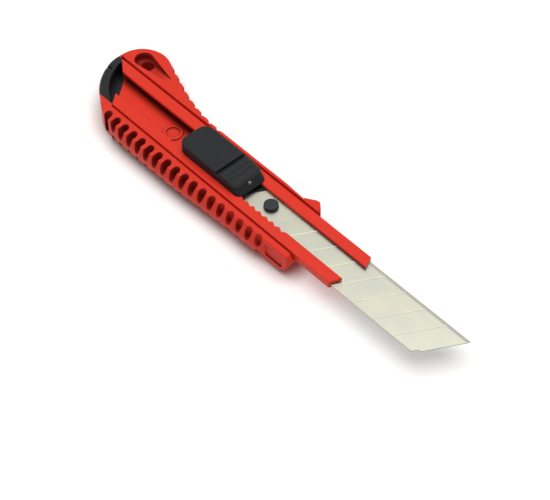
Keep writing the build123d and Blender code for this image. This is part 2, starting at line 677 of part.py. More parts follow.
def push_end():
    """The sloping front of the thumb pad, with its leaning nose and ribs."""
    base = HANDLE_THICKNESS + THUMB_LIFT
    brow = Z_THUMB + PUSH_RISE
    rear = PAWL_X - NOTCH_BEHIND + NOTCH_WIDTH / 2
    front = PAWL_X + THUMB_AHEAD
    lean = THUMB_LEAN / (brow - PUSH_FALL - base)
    sections = []
    for z in (base, brow):
        x = front + lean * (brow - PUSH_FALL - z)
        points = [(rear, -THUMB_HALF), (x, -THUMB_HALF), (x, THUMB_HALF), (rear, THUMB_HALF)]
        radii = [0, THUMB_FRONT_RADIUS, THUMB_FRONT_RADIUS, 0]
        sections.append(Pos(0, 0, z) * plan(points, radii))
    fall = PUSH_FALL / (front - rear)
    beyond = front + THUMB_LEAN
    slope = [(rear, brow), (beyond, brow - fall * (beyond - rear)), (beyond, FAR), (rear, FAR)]
    end = loft(sections, ruled=True) - across(slope, -THUMB_HALF, THUMB_HALF)
    top = end.faces().sort_by(Axis.Z)[-1]
    end = chamfer(top.edges(), THUMB_ROUND)
    rib_half = THUMB_HALF - 2 * THUMB_ROUND
    for index in range(PUSH_RIB_COUNT):
        x = rear + (index + 1) * PUSH_RIB_PITCH
        z = brow - fall * (x - rear)
        arc = ThreePointArc((x - PUSH_RIB_WIDTH / 2, -rib_half, z - PUSH_RIB_HEIGHT),
                            (x, -rib_half, z + PUSH_RIB_HEIGHT),
                            (x + PUSH_RIB_WIDTH / 2, -rib_half, z - PUSH_RIB_HEIGHT))
        base_line = Line(arc @ 1, arc @ 0)
        rib = extrude(make_face([*arc.edges(), base_line]), amount=2 * rib_half, dir=(0, 1, 0))
        end += rib
    return end


def thumb_slide():
    """The thumb pad: a hollow cap over the carrier's neck."""
    base = HANDLE_THICKNESS + THUMB_LIFT
    notch = PAWL_X - NOTCH_BEHIND
    web = block(notch - NOTCH_WIDTH / 2, notch + NOTCH_WIDTH / 2, -THUMB_HALF, THUMB_HALF,
                base, Z_THUMB - NOTCH_DEPTH)
    pad = thumb_rest() + web + push_end()
    inside = THUMB_HALF - THUMB_WALL
    pad -= block(PAWL_X - THUMB_BEHIND + THUMB_WALL, PAWL_X + NECK_AHEAD, -inside, inside,
                 0, HANDLE_THICKNESS + NECK_RISE)
    return Pos(0, THUMB_Y, 0) * pad - pin_rod(PIN_RADIUS + PIN_PLAY)


def pin_rod(radius):
    """The pin's rod, or the hole for it, along X through the pad's nose."""
    base = HANDLE_THICKNESS + THUMB_LIFT
    lip_top = Z_THUMB + PUSH_RISE - PUSH_FALL
    face_x = PAWL_X + THUMB_AHEAD + THUMB_LEAN * (lip_top - Z_PIN) / (lip_top - base)
    centre_x = face_x + PIN_PROUD - PIN_LENGTH / 2
    return Pos(centre_x, PIN_Y, Z_PIN) * Rot(0, 90, 0) * Cylinder(radius, PIN_LENGTH)


def slide_pin():
    """Steel pin that fastens the thumb pad to the carrier's neck."""
    pin = pin_rod(PIN_RADIUS)
    return chamfer(pin.edges().filter_by(GeomType.CIRCLE), PIN_RADIUS / 4)


def carrier_plate():
    """The flat guide in the blade channel, behind the blade."""
    half = CHANNEL_HALF - SLIDE_CLEARANCE
    end_x = BLADE_END_X - BLADE_GAP
    points = [
        (-FAR, -half),
        (cut_x(end_x, -half), -half),
        (cut_x(end_x, half), half),
        (-FAR, half),
    ]
    return raised(plan(points), Z_HOLDER, Z_LIP - SLIDE_CLEARANCE)


def slide_carrier():
    """The block that runs in the rail: guide plate, foot and neck."""
    foot_half = TROUGH_HALF - SLIDE_CLEARANCE
    neck_top = HANDLE_THICKNESS + NECK_RISE
    foot_bottom = Z_TROUGH + MARK_HEIGHT + SLIDE_CLEARANCE
    carrier = carrier_plate()
    carrier += block(-FAR, PAWL_X + FOOT_AHEAD, -foot_half, foot_half, foot_bottom, Z_HOLDER)
    carrier += block(PAWL_X - NECK_BEHIND, PAWL_X + NECK_AHEAD, -NECK_HALF, NECK_HALF,
                     Z_HOLDER, neck_top)
    clear_of_cap = offset(body_outline(), amount=-CAP_WALL - CARRIER_CLEARANCE)
    carrier &= Pos(RETRACTION, 0, 0) * raised(clear_of_cap, 0, FAR)
    carrier -= raised(holder_outline(), Z_HOLDER, Z_BLADE)
    carrier -= spring_room()
    return carrier - pin_rod(PIN_RADIUS + PIN_PLAY)


def holder_outline():
    """The blade holder in plan."""
    rear = PAWL_X - HOLDER_BEHIND
    front = STUD_X + HOLDER_MARGIN
    half = BLADE_HALF - HOLDER_INSET
    points = [(rear, -half), (front, -half), (front, half), (rear, half)]
    return plan(points, [0, HOLDER_CORNER, HOLDER_CORNER, 0])


def blade_holder():
    """Thin steel plate under the blade, with a hole for the stud's shank."""
    plate = raised(holder_outline(), Z_HOLDER, Z_BLADE)
    return plate - raised(Pos(STUD_X, STUD_Y) * Circle(STUD_SHANK_RADIUS), 0, FAR)


def blade_stud():
    """Round stud riveted to the holder; the blade's hole drops over it."""
    head = raised(Circle(STUD_RADIUS), Z_BLADE, Z_BLADE_TOP + STUD_HEIGHT)
    head = chamfer(level_edges(head, Z_BLADE_TOP + STUD_HEIGHT), STUD_EDGE)
    shank = raised(Circle(STUD_SHANK_RADIUS), Z_HOLDER, Z_BLADE)
    return Pos(STUD_X, STUD_Y) * (head + shank)


def spring_path():
    """Centre line of the lock spring in plan, from its anchor to its tail."""
    shoulder_y = SPRING_SHOULDER - SLOT_HALF
    nose_y = SPRING_SEAT - SLOT_HALF - TOOTH_DEPTH
    points = [
        (PAWL_X - SPRING_ANCHOR_BEHIND, SPRING_ANCHOR_Y),
        (PAWL_X - SPRING_BEND_BEHIND, SPRING_BEND_Y),
        (PAWL_X - SPRING_NOSE_HALF, shoulder_y),
        (PAWL_X, nose_y),
        (PAWL_X + SPRING_NOSE_HALF, shoulder_y),
        (PAWL_X + SPRING_NOSE_HALF + SPRING_TAIL, shoulder_y + SPRING_SHOULDER),
    ]
    return FilletPolyline(*points, radius=SPRING_ROUND)


def lock_spring():
    """Flat spring whose bent nose clicks from valley to valley."""
    top = HANDLE_THICKNESS
    return raised(trace(spring_path(), line_width=SPRING_THICKNESS), top - SPRING_HEIGHT, top)


def spring_room():
    """The slot that grips the spring's arm, and room for its nose to give."""
    bend_x = PAWL_X - SPRING_BEND_BEHIND
    front = PAWL_X + SPRING_NOSE_HALF + SPRING_TAIL + SPRING_THICKNESS
    free = [
        (PAWL_X - SPRING_ANCHOR_BEHIND + SPRING_ROOM, SPRING_ANCHOR_Y),
        (bend_x, SPRING_BEND_Y + SPRING_ROOM),
        (front, SPRING_ROOM - SLOT_HALF),
        (front, -FAR),
        (bend_x, -FAR),
    ]
    held = trace(spring_path(), line_width=SPRING_THICKNESS + 2 * SPRING_PLAY)
    bottom = HANDLE_THICKNESS - SPRING_HEIGHT - SPRING_PLAY
    return raised(held + plan(free), bottom, HANDLE_THICKNESS + SPRING_PLAY)


# ---------------------------------------------------------------- blade
def blade_section():
    """The blade's cross-section: a flat strip with a ground edge."""
    middle = (Z_BLADE + Z_BLADE_TOP) / 2
    flank = BLADE_HALF - BEVEL_WIDTH
    points = [
        (0, -BLADE_HALF, Z_BLADE),
        (0, flank, Z_BLADE),
        (0, BLADE_HALF, middle - EDGE_FLAT / 2),
        (0, BLADE_HALF, middle + EDGE_FLAT / 2),
        (0, flank, Z_BLADE_TOP),
        (0, -BLADE_HALF, Z_BLADE_TOP),
    ]
    return make_face(Polyline(*points, close=True))


def blade():
    """The snap-off blade with its scores, its hole and its snapped tip."""
    strip_x = cut_x(BLADE_END_X, -BLADE_HALF)
    length = BLADE_TIP_X - strip_x
    steel = extrude(Pos(strip_x, 0, 0) * blade_section(), amount=length, dir=(1, 0, 0))
    ends = [
        (cut_x(BLADE_END_X, -BLADE_HALF), -BLADE_HALF),
        (cut_x(BLADE_TIP_X, -BLADE_HALF), -BLADE_HALF),
        (BLADE_TIP_X, BLADE_HALF),
        (BLADE_END_X, BLADE_HALF),
    ]
    steel &= raised(plan(ends), 0, FAR)
    for index in range(SCORE_COUNT):
        steel -= score(BLADE_TIP_X - (index + 1) * SEGMENT_LENGTH)
    hole = Circle(STUD_RADIUS + BLADE_HOLE_CLEARANCE)
    steel -= raised(Pos(STUD_X, STUD_Y) * hole, 0, FAR)
    return steel - tip_nick()


def score(edge_x):
    """Cutter for one V-shaped snap line that meets the edge at edge_x."""
    half = SCORE_WIDTH / 2
    groove = Polyline((0, -half, SCORE_DEPTH), (0, 0, 0), (0, half, SCORE_DEPTH), close=True)
    run = BLADE_WIDTH * 2
    bar = extrude(make_face(groove), amount=run, both=True, dir=(1, 0, 0))
    place = Pos(cut_x(edge_x, 0), 0, Z_BLADE_TOP - SCORE_DEPTH)
    return place * Rot(0, 0, 90 - CUT_ANGLE) * bar


def tip_nick():
    """Cutter for the corner that the last snap took off the spine."""
    top_y = NICK_HEIGHT - BLADE_HALF
    rear_x = cut_x(BLADE_TIP_X, top_y) - NICK_LENGTH
    points = [
        (rear_x + NICK_HEIGHT * CUT_SLOPE, top_y),
        (BLADE_TIP_X, top_y),
        (BLADE_TIP_X, -BLADE_WIDTH),
        (rear_x, -BLADE_WIDTH),
        (rear_x, -BLADE_HALF),
    ]
    return raised(plan(points), 0, FAR)


# ---------------------------------------------------------------- all pieces
PIECES = [
    handle_shell,
    blade_rail,
    end_cap,
    thumb_slide,
    slide_carrier,
    blade_holder,
    blade_stud,
    lock_spring,
    slide_pin,
    blade,
]


def main():
    """Write every piece as parts/NAME.step."""
    os.makedirs("parts", exist_ok=True)
    for piece in PIECES:
        name = piece.__name__
        solid = piece()
        export_step(solid, f"parts/{name}.step")
        print(f"{name}: {solid.volume:.1f} mm3")


if __name__ == "__main__":
    main()
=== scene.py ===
# %% [markdown]
# # A snap-off utility knife
#
# The knife lies on its back with the thumb slide up and seven segments of blade
# showing.  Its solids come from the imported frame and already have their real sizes
# and places, so this lesson gives them their plastics and steels, adds the embossed
# grip pad on the back and the swell of the finger grooves on the side, and then
# lights and frames the knife.
#
# Every length below is written in millimetres and turned to metres by one constant.
# X runs to the blade tip, +Y is the cutting-edge side and +Z is the thumb side.

from math import cos, pi, radians, sin

import bmesh
import bpy
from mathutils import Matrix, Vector


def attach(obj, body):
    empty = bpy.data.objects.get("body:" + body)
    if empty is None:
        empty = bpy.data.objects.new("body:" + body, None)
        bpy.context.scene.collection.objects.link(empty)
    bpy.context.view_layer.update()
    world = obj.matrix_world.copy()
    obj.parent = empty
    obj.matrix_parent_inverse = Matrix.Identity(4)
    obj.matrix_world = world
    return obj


MM = 0.001

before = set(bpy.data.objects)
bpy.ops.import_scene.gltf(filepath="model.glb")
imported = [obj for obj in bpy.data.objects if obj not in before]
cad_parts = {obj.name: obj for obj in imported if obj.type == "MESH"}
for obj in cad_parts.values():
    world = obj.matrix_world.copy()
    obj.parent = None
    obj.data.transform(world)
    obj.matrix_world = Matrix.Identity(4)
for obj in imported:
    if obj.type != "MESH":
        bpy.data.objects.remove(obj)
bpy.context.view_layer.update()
print("solids:", ", ".join(sorted(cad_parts)))

# %% [markdown]
# ## Three small tools
#
# Hex colours are how a painter writes a colour down, but the sockets of a node take
# linear light, so one function turns the first into the second.  A second function
# adds any node with its settings and links in one call, which keeps a long material
# readable.  The third gives the Scale that draws a texture cell at a size in
# millimetres, so that no pattern has a size picked by eye.
#
# A Mix node keeps sockets for numbers, vectors and colours under the same names, so
# its colour sockets are reached by their places, which get names here.

# %% Colour, nodes and pattern scale
MIX_FIRST = 6
MIX_SECOND = 7
MIX_RESULT = 2


def linear(hex_colour):
    """An sRGB hex colour as the linear RGBA that a socket takes."""
    channels = [int(hex_colour[start:start + 2], 16) / 255 for start in (1, 3, 5)]
    light = [c / 12.92 if c <= 0.04045 else ((c + 0.055) / 1.055) ** 2.4
             for c in channels]
    return light + [1.0]


def add_node(tree, kind, inputs=None, **settings):
    """Adds a node: settings are properties, inputs are values or sockets to link."""
    node = tree.nodes.new(kind)
    for name, value in settings.items():
        setattr(node, name, value)
    for name, value in (inputs or {}).items():
        if isinstance(value, bpy.types.NodeSocket):
            tree.links.new(value, node.inputs[name])
        else:
            node.inputs[name].default_value = value
    return node


def cell(size_mm):
    """The Scale of a texture whose cells are this many millimetres across."""
    return 1 / (size_mm * MM)


print("a 2 mm pattern has the scale", round(cell(2)))

# %% [markdown]
# ## A finish that every piece shares
#
# A moulded or ground edge is never quite sharp: it has a small round that catches
# the light as a thin line.  The solids have dead sharp edges where the real round is
# too small to model, so the Bevel node bends the normals across them.  Comparing
# that bent normal with the true one also finds where the edges are, and a worn edge
# is a little paler there.  Every finish starts from these.
#
# On a flat face the two normals agree and their dot product is 1.  It falls as the
# rounding bends them apart, and the mask rises from 0 to 1 between two such values.

# %% Start of each finish: coordinates, rounded normals, edge mask
FLAT_AGREEMENT = 0.995
EDGE_AGREEMENT = 0.86


def start_finish(name, edge_mm):
    """A new material, its shader, object coordinates, soft normals and edge mask."""
    material = bpy.data.materials.new(name)
    material.use_nodes = True
    tree = material.node_tree
    shader = tree.nodes["Principled BSDF"]
    place = add_node(tree, "ShaderNodeTexCoord").outputs["Object"]
    soft = add_node(tree, "ShaderNodeBevel", {"Radius": edge_mm * MM}, samples=6)
    true = add_node(tree, "ShaderNodeNewGeometry")
    agree = add_node(tree, "ShaderNodeVectorMath", {
        0: soft.outputs["Normal"], 1: true.outputs["Normal"]}, operation="DOT_PRODUCT")
    edge = add_node(tree, "ShaderNodeMapRange", {
        "Value": agree.outputs["Value"], "From Min": FLAT_AGREEMENT,
        "From Max": EDGE_AGREEMENT, "To Min": 0.0, "To Max": 1.0})
    return (material, tree, shader, place, soft.outputs["Normal"],
            edge.outputs["Result"])


def stretched(tree, place, along, across, upward):
    """Coordinates squeezed along X, Y and Z, for a pattern with a grain."""
    squeezed = add_node(tree, "ShaderNodeMapping", {
        "Vector": place, "Scale": (along, across, upward)})
    return squeezed.outputs["Vector"]


print("finishes start from a rounded edge")

# %% [markdown]
# ## Red ABS
#
# The handle and the rail are injection-moulded ABS.  ABS has an index of refraction
# of 1.54 and comes out of a spark-eroded mould with a satin skin, so highlights are
# soft but clear.  Its red is even, with a faint drift where the melt flowed along
# the handle.  The bottoms of the grooves get a painted shade, a deeper red that
# stands in for the light that arrives there only after several bounces between red
# walls.  Handling leaves hairline scuffs that follow the length and pale the edges
# a little.
#
# The real grain of the mould is about 0.1 mm, too fine to show in a picture, so it
# is drawn at 0.45 mm on the handle and 0.6 mm on the smoother rail.
#
# The Ambient Occlusion node tells how shut in a point is.  It looks 5 mm around, about
# the width of a groove and a rib, and sets the painted shade and how matt it is.

# %% Moulded ABS
GROOVE_REACH = 5.0


def moulded_abs(name, body, drift, roughness, grain_mm):
    """Satin ABS: melt flow, painted groove shade, scuffs along X, pale edges, mould
    grain.
    """
    material, tree, shader, place, soft, edge = start_finish(name, 0.25)
    flow = add_node(tree, "ShaderNodeTexNoise", {
        "Vector": stretched(tree, place, 0.3, 1, 1), "Scale": cell(14), "Detail": 3.0})
    tone = add_node(tree, "ShaderNodeMix", {
        "Factor": flow.outputs["Fac"], MIX_FIRST: linear(body),
        MIX_SECOND: linear(drift)}, data_type="RGBA")
    # Painted shade: shut-in places, such as the bottoms of the grooves, are mixed
    # towards a deep red.
    recess = add_node(tree, "ShaderNodeAmbientOcclusion", {
        "Distance": GROOVE_REACH * MM}, samples=8, only_local=True)
    shade_depth = add_node(tree, "ShaderNodeMapRange", {
        "Value": recess.outputs["AO"], "From Min": 0.95, "From Max": 0.55,
        "To Min": 0.0, "To Max": 0.95})
    painted_shade = add_node(tree, "ShaderNodeMix", {
        "Factor": shade_depth.outputs["Result"], MIX_FIRST: tone.outputs[MIX_RESULT],
        MIX_SECOND: linear("#640703")}, data_type="RGBA")
    scuff = add_node(tree, "ShaderNodeTexNoise", {
        "Vector": stretched(tree, place, 0.05, 1, 1), "Scale": cell(0.7),
        "Detail": 2.0})
    hairline = add_node(tree, "ShaderNodeMapRange", {
        "Value": scuff.outputs["Fac"], "From Min": 0.66, "From Max": 0.74,
        "To Min": 0.0, "To Max": 0.12})
    worn = add_node(tree, "ShaderNodeMath", {0: edge, 1: 0.22}, operation="MULTIPLY")
    pale = add_node(tree, "ShaderNodeMath", {
        0: worn.outputs[0], 1: hairline.outputs["Result"]},
        operation="ADD", use_clamp=True)
    colour = add_node(tree, "ShaderNodeMix", {
        "Factor": pale.outputs[0], MIX_FIRST: painted_shade.outputs[MIX_RESULT],
        MIX_SECOND: linear("#F4877A")}, data_type="RGBA")
    grain = add_node(tree, "ShaderNodeTexNoise", {
        "Vector": place, "Scale": cell(grain_mm), "Detail": 2.0, "Roughness": 0.6})
    smudge = add_node(tree, "ShaderNodeTexNoise", {
        "Vector": place, "Scale": cell(9), "Detail": 2.0})
    satin = add_node(tree, "ShaderNodeMapRange", {
        "Value": smudge.outputs["Fac"], "From Min": 0.3, "From Max": 0.7,
        "To Min": roughness - 0.05, "To Max": roughness + 0.07})
    matt = add_node(tree, "ShaderNodeMath", {
        0: shade_depth.outputs["Result"], 1: 0.35, 2: satin.outputs["Result"]},
        operation="MULTIPLY_ADD")
    dull = add_node(tree, "ShaderNodeMath", {
        0: matt.outputs[0], 1: pale.outputs[0]}, operation="ADD", use_clamp=True)
    skin = add_node(tree, "ShaderNodeBump", {
        "Height": grain.outputs["Fac"], "Strength": 0.25, "Distance": 0.03 * MM,
        "Normal": soft})
    tree.links.new(colour.outputs[MIX_RESULT], shader.inputs["Base Color"])
    tree.links.new(dull.outputs[0], shader.inputs["Roughness"])
    tree.links.new(skin.outputs["Normal"], shader.inputs["Normal"])
    shader.inputs["IOR"].default_value = 1.54
    shader.inputs["Specular IOR Level"].default_value = 0.12
    return material


handle_abs = moulded_abs("satin_red_abs", "#EC3828", "#F1402E", 0.36, 0.45)
rail_abs = moulded_abs("smooth_red_abs", "#F03A29", "#F4432F", 0.30, 0.6)
print("made", handle_abs.name, "and", rail_abs.name)

# %% [markdown]
# ## Charcoal nylon
#
# The thumb slide, the carrier and the end cap take the knocks and the rubbing, so
# they are glass-filled nylon.  The glass comes to the surface as a fine speckle and
# keeps the skin matt, so the piece reads as a soft charcoal rather than as black.
# Where a thumb rubs, on the upper faces, the skin is a little smoother.  Deep
# corners get a painted shade, near black, in the same way as on the red parts.

# %% Glass-filled nylon
def glass_filled_nylon(name, body, roughness):
    """Matt nylon: glass speckle, eroded mould skin, pale edges, rubbed upper faces."""
    material, tree, shader, place, soft, edge = start_finish(name, 0.3)
    speckle = add_node(tree, "ShaderNodeTexNoise", {
        "Vector": stretched(tree, place, 0.35, 1, 1), "Scale": cell(0.4),
        "Detail": 2.0})
    glass = add_node(tree, "ShaderNodeMapRange", {
        "Value": speckle.outputs["Fac"], "From Min": 0.45, "From Max": 0.8,
        "To Min": 0.0, "To Max": 0.25})
    speckled = add_node(tree, "ShaderNodeMix", {
        "Factor": glass.outputs["Result"], MIX_FIRST: linear(body),
        MIX_SECOND: linear("#4A4C50")}, data_type="RGBA")
    # Painted shade: shut-in corners are mixed towards near black.
    recess = add_node(tree, "ShaderNodeAmbientOcclusion", {
        "Distance": GROOVE_REACH * MM}, samples=8)
    shade_depth = add_node(tree, "ShaderNodeMapRange", {
        "Value": recess.outputs["AO"], "From Min": 0.85, "From Max": 0.35,
        "To Min": 0.0, "To Max": 0.9})
    painted_shade = add_node(tree, "ShaderNodeMix", {
        "Factor": shade_depth.outputs["Result"], MIX_FIRST: speckled.outputs[MIX_RESULT],
        MIX_SECOND: linear("#050506")}, data_type="RGBA")
    worn = add_node(tree, "ShaderNodeMath", {0: edge, 1: 0.35}, operation="MULTIPLY")
    colour = add_node(tree, "ShaderNodeMix", {
        "Factor": worn.outputs[0], MIX_FIRST: painted_shade.outputs[MIX_RESULT],
        MIX_SECOND: linear("#5C5F63")}, data_type="RGBA")
    surface = add_node(tree, "ShaderNodeNewGeometry")
    facing = add_node(tree, "ShaderNodeSeparateXYZ", {0: surface.outputs["Normal"]})
    rubbed = add_node(tree, "ShaderNodeMapRange", {
        "Value": facing.outputs["Z"], "From Min": 0.6, "From Max": 1.0,
        "To Min": roughness, "To Max": roughness - 0.08})
    cloud = add_node(tree, "ShaderNodeTexNoise", {
        "Vector": place, "Scale": cell(5), "Detail": 3.0})
    patch = add_node(tree, "ShaderNodeMath", {
        0: cloud.outputs["Fac"], 1: 0.12, 2: rubbed.outputs["Result"]},
        operation="MULTIPLY_ADD")
    skin = add_node(tree, "ShaderNodeBump", {
        "Height": speckle.outputs["Fac"], "Strength": 0.35, "Distance": 0.04 * MM,
        "Normal": soft})
    tree.links.new(colour.outputs[MIX_RESULT], shader.inputs["Base Color"])
    tree.links.new(patch.outputs[0], shader.inputs["Roughness"])
    tree.links.new(skin.outputs["Normal"], shader.inputs["Normal"])
    shader.inputs["IOR"].default_value = 1.53
    shader.inputs["Specular IOR Level"].default_value = 0.15
    return material


slide_nylon = glass_filled_nylon("charcoal_nylon", "#1A1B1D", 0.46)
print("made", slide_nylon.name)

# %% [markdown]
# ## Ground carbon steel
#
# The blade is a strip of carbon tool steel, rolled, hardened and ground.  It carries
# a thin film of oil, which warms the grey to a cream.  Grinding leaves very fine
# lines across the strip, and the steel clouds a little where fingers and oil have
# been.  A metal keeps the default index of refraction.  The grinding lines are
# microns apart on the real strip and are drawn 0.25 mm apart.

# %% Ground blade steel
def ground_steel(name, body, film, roughness):
    """Oiled, cross-ground tool steel with clouds in the film and fine lines across."""
    material, tree, shader, place, soft, edge = start_finish(name, 0.2)
    cloud = add_node(tree, "ShaderNodeTexNoise", {
        "Vector": place, "Scale": cell(11), "Detail": 4.0, "Roughness": 0.6})
    oiled = add_node(tree, "ShaderNodeMapRange", {
        "Value": cloud.outputs["Fac"], "From Min": 0.35, "From Max": 0.65,
        "To Min": 0.0, "To Max": 1.0})
    colour = add_node(tree, "ShaderNodeMix", {
        "Factor": oiled.outputs["Result"], MIX_FIRST: linear(body),
        MIX_SECOND: linear(film)}, data_type="RGBA")
    lines = add_node(tree, "ShaderNodeTexNoise", {
        "Vector": stretched(tree, place, 1, 0.03, 1), "Scale": cell(0.25),
        "Detail": 2.0})
    sheen = add_node(tree, "ShaderNodeMath", {
        0: lines.outputs["Fac"], 1: 0.14, 2: roughness}, operation="MULTIPLY_ADD")
    ground = add_node(tree, "ShaderNodeBump", {
        "Height": lines.outputs["Fac"], "Strength": 0.2, "Distance": 0.01 * MM,
        "Normal": soft})
    tree.links.new(colour.outputs[MIX_RESULT], shader.inputs["Base Color"])
    tree.links.new(sheen.outputs[0], shader.inputs["Roughness"])
    tree.links.new(ground.outputs["Normal"], shader.inputs["Normal"])
    shader.inputs["Metallic"].default_value = 1.0
    return material


blade_steel = ground_steel("oiled_ground_steel", "#A7A79D", "#AEAC9B", 0.30)
print("made", blade_steel.name)

# %% [markdown]
# ## Blackened and bright small parts
#
# The stud and the holder are mild steel with a black oxide, which is a thin, slightly
# uneven crust that dulls the metal.  The lock spring is bare spring steel, drawn
# through a die, and the pin is plated.  They are small, so one recipe with different
# colours and a different roughness serves all three.

# %% Small steel parts
def small_steel(name, body, rubbed, roughness, grain_mm):
    """Turned or pressed steel with an uneven skin, rubbed bright on its edges."""
    material, tree, shader, place, soft, edge = start_finish(name, 0.12)
    crust = add_node(tree, "ShaderNodeTexNoise", {
        "Vector": place, "Scale": cell(grain_mm), "Detail": 3.0, "Roughness": 0.65})
    mottle = add_node(tree, "ShaderNodeMath", {
        0: crust.outputs["Fac"], 1: 0.25}, operation="MULTIPLY")
    bright = add_node(tree, "ShaderNodeMath", {
        0: edge, 1: 0.5, 2: mottle.outputs[0]},
        operation="MULTIPLY_ADD", use_clamp=True)
    colour = add_node(tree, "ShaderNodeMix", {
        "Factor": bright.outputs[0], MIX_FIRST: linear(body),
        MIX_SECOND: linear(rubbed)}, data_type="RGBA")
    dull = add_node(tree, "ShaderNodeMath", {
        0: crust.outputs["Fac"], 1: 0.2, 2: roughness}, operation="MULTIPLY_ADD")
    skin = add_node(tree, "ShaderNodeBump", {
        "Height": crust.outputs["Fac"], "Strength": 0.2, "Distance": 0.02 * MM,
        "Normal": soft})
    tree.links.new(colour.outputs[MIX_RESULT], shader.inputs["Base Color"])
    tree.links.new(dull.outputs[0], shader.inputs["Roughness"])
    tree.links.new(skin.outputs["Normal"], shader.inputs["Normal"])
    shader.inputs["Metallic"].default_value = 1.0
    return material


black_oxide = small_steel("black_oxide_steel", "#2A2C2F", "#5C5E61", 0.34, 0.5)
spring_steel = small_steel("bright_spring_steel", "#9A9893", "#C9C7C0", 0.22, 0.4)
plated_steel = small_steel("nickel_plated_steel", "#6E6C67", "#94928C", 0.34, 0.6)
print("made", black_oxide.name, spring_steel.name, plated_steel.name)

# %% [markdown]
# ## Finishes onto the solids
#
# A solid's mesh stays as it was packed.  Only the material in its object's slot
# changes, and it is linked to the object so that the shared mesh data is untouched.

# %% Give each solid its finish
FINISHES = {
    "handle_shell": handle_abs,
    "blade_rail": rail_abs,
    "end_cap": slide_nylon,
    "thumb_slide": slide_nylon,
    "slide_carrier": slide_nylon,
    "blade_holder": black_oxide,
    "blade_stud": black_oxide,
    "lock_spring": spring_steel,
    "slide_pin": plated_steel,
    "blade": blade_steel,
}
for node, finish in FINISHES.items():
    for material_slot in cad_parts[node].material_slots:
        material_slot.link = "OBJECT"
        material_slot.material = finish
print("finished", len(FINISHES), "solids")

# %% [markdown]
# ## The grip pad on the back
#
# The back carries a long pad inside a groove, embossed like woven leather: short
# curved ridges in staggered rows, each row leaning the other way, with a line of
# stitches just inside the groove.  It lies under the knife here and is what the palm
# feels.  A modeller could emboss it with a displaced grid, but that needs a very
# dense mesh for thin ridges.  The ridges repeat by a rule, so Geometry Nodes place
# one small ridge many times instead, and each has only fifty faces.
#
# The outline repeats the groove's own sizes: four corners in plan, rounded wide at
# the rear and tight at the front.

# %% The pad's outline as corners with radii
PAD_CORNERS = [(-47.0, -8.2, 7.3), (38.85, -8.2, 1.2),
               (33.5, 6.5, 1.2), (-47.0, 9.0, 7.3)]
PAD_GROOVE = 0.9
LEAST_RADIUS = 0.2


def inset_corners(corners, inset):
    """The corners moved inwards by the inset, with their radii cut by as much."""
    moved = []
    for index, (x, y, radius) in enumerate(corners):
        here = Vector((x, y))
        back = (here - Vector(corners[index - 1][:2])).normalized()
        on = (Vector(corners[(index + 1) % len(corners)][:2]) - here).normalized()
        shift = inset / (back.x * on.y - back.y * on.x)
        inner = here + (on - back) * shift
        moved.append((inner.x, inner.y, max(radius - inset, LEAST_RADIUS)))
    return moved


def corner_mesh(name, corners):
    """A closed loop of edges through the corners, with each radius as an attribute."""
    mesh = bpy.data.meshes.new(name)
    loop = [(index, (index + 1) % len(corners)) for index in range(len(corners))]
    mesh.from_pydata([(x * MM, y * MM, 0) for x, y, _ in corners], loop, [])
    radii = mesh.attributes.new("radius_m", "FLOAT", "POINT")
    radii.data.foreach_set("value", [radius * MM for _, _, radius in corners])
    return mesh


inset_pad = inset_corners(PAD_CORNERS, 1.0)
print("pad corners inset by 1 mm:",
      [(round(x, 2), round(y, 2)) for x, y, _ in inset_pad])

# %% [markdown]
# ## A place to start a tree and to take its result
#
# Every Geometry Nodes tree here gets the loop of corners, named sizes and a
# material, and ends in Realize Instances and Set Material, because an export drops
# instances and may lose the slot.  The result is then copied out of the evaluated
# object as a plain mesh and the modifier goes, so what is left is an ordinary piece.

# %% Start a tree, finish it, and bake it to a plain mesh
def start_tree(name, sizes):
    """A tree with its input node, a geometry output and one float input for each size.
    """
    tree = bpy.data.node_groups.new(name, "GeometryNodeTree")
    tree.interface.new_socket(name="Geometry", in_out="INPUT",
                              socket_type="NodeSocketGeometry")
    for size in sizes:
        tree.interface.new_socket(name=size, in_out="INPUT",
                                  socket_type="NodeSocketFloat")
    tree.interface.new_socket(name="Finish", in_out="INPUT",
                              socket_type="NodeSocketMaterial")
    tree.interface.new_socket(name="Geometry", in_out="OUTPUT",
                              socket_type="NodeSocketGeometry")
    return tree, add_node(tree, "NodeGroupInput").outputs


def end_tree(tree, given, instances):
    """Makes the instances real, smooth and finished, and sends them out."""
    real = add_node(tree, "GeometryNodeRealizeInstances", {"Geometry": instances})
    smooth = add_node(tree, "GeometryNodeSetShadeSmooth", {
        "Geometry": real.outputs["Geometry"]})
    finished = add_node(tree, "GeometryNodeSetMaterial", {
        "Geometry": smooth.outputs["Geometry"], "Material": given["Finish"]})
    add_node(tree, "NodeGroupOutput", {"Geometry": finished.outputs["Geometry"]})


def grow(name, base, tree, values):
    """Runs the tree on the base mesh and returns its result as a plain object."""
    piece = bpy.data.objects.new(name, base)
    bpy.context.scene.collection.objects.link(piece)
    modifier = piece.modifiers.new("grow", "NODES")
    modifier.node_group = tree
    for item in tree.interface.items_tree:
        if item.in_out == "INPUT" and item.name in values:
            modifier[item.identifier] = values[item.name]
    evaluated = piece.evaluated_get(bpy.context.evaluated_depsgraph_get())
    plain = bpy.data.meshes.new_from_object(evaluated)
    piece.modifiers.remove(modifier)
    piece.data = plain
    plain.name = name
    return piece


print("tree helpers ready")

# %% [markdown]
# ## One ridge
#
# A ridge of the weave is a thin crescent, highest in the middle and fading out at its
# ends.  A short bent curve gives its line, the curve's radius tapers with the sine of
# the way along, and a small circle swept along it makes the body.  Flattened and
# half sunk in the plastic, it is a rounded emboss with fifty faces.

# %% The ridge as a branch of the tree
THINNEST = 0.12


